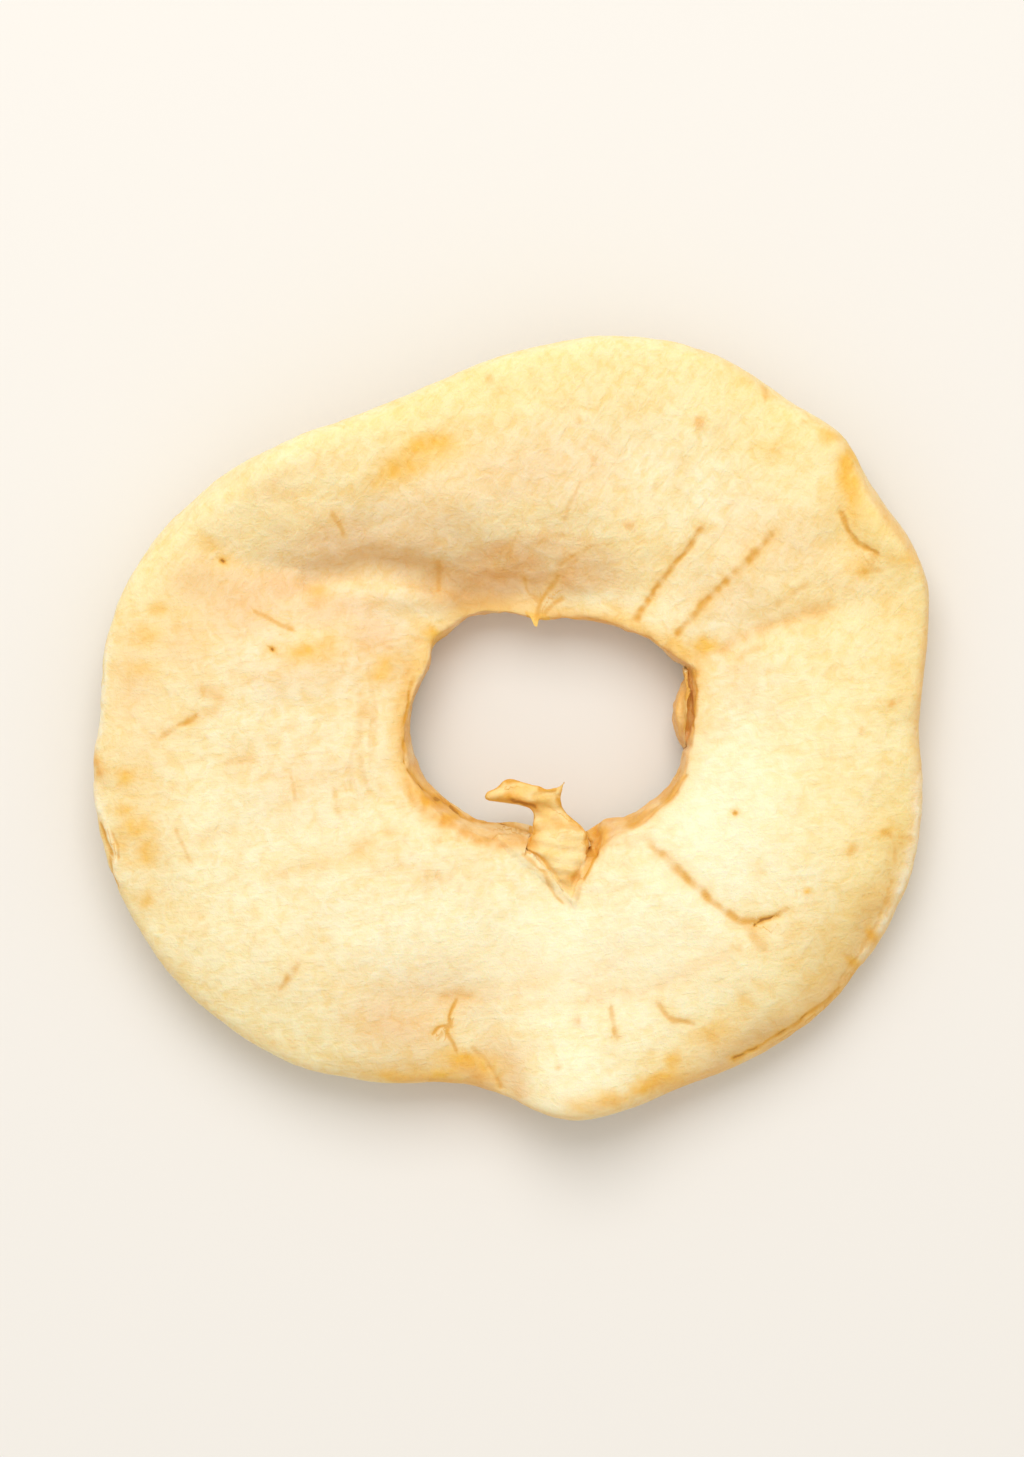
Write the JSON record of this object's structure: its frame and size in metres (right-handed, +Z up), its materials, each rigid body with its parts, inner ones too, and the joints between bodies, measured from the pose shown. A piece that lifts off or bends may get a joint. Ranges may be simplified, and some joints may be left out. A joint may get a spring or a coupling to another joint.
{
  "type": "dried apple ring",
  "caption": "Warped slice of dried apple, peeled and cored, with a folded-up edge, a notch in the hole and torn core flakes.",
  "frame": {"origin": "centre of the slice's bounding box, on the surface it rests on", "axes": "+Z up, away from the surface it rests on; +X along the slice's longest width, to the right as seen from above with the notch in the hole nearest the viewer; +Y away from the notch"},
  "size_m": [0.062, 0.0582, 0.0098],
  "materials": {
    "dried_flesh": "matte dried apple flesh, pale cream, yellower at the rim and tan in the cored wall"
  },
  "bodies": {
    "root": {"apple_ring": "dried_flesh"}
  },
  "joints": []
}
